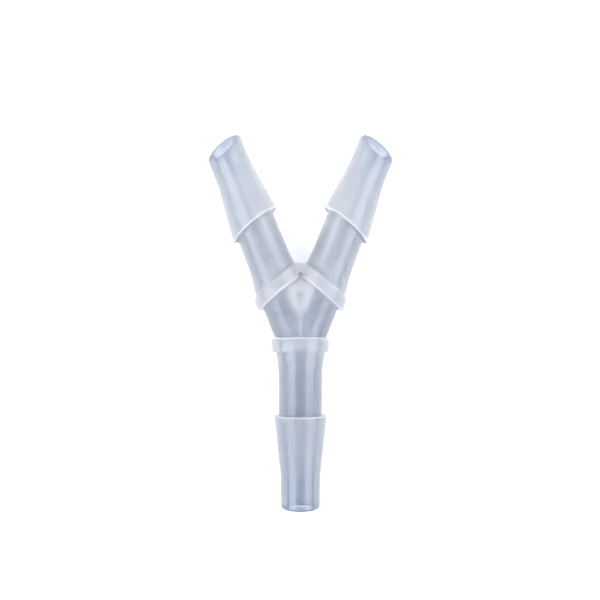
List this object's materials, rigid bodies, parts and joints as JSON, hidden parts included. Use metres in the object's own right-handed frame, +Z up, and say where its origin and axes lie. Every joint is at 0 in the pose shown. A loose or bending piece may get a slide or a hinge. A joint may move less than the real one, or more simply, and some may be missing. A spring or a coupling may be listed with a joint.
{
  "type": "tubing y connector",
  "caption": "Barbed Y connector moulded in translucent natural plastic: a leg splits into arms, and each branch has a stop collar, a plain seat, a tapered barb and a spigot.",
  "frame": {"origin": "on the surface the connector lies on, under the middle of its outline", "axes": "+Y from the leg towards the arms, +X to the right arm when seen from above, +Z up out of the plane of the Y"},
  "size_m": [0.0334, 0.0676, 0.0104],
  "materials": {
    "natural_plastic": "translucent milky natural plastic, semi-gloss"
  },
  "bodies": {
    "root": {"y_connector_body": "natural_plastic"}
  },
  "joints": []
}
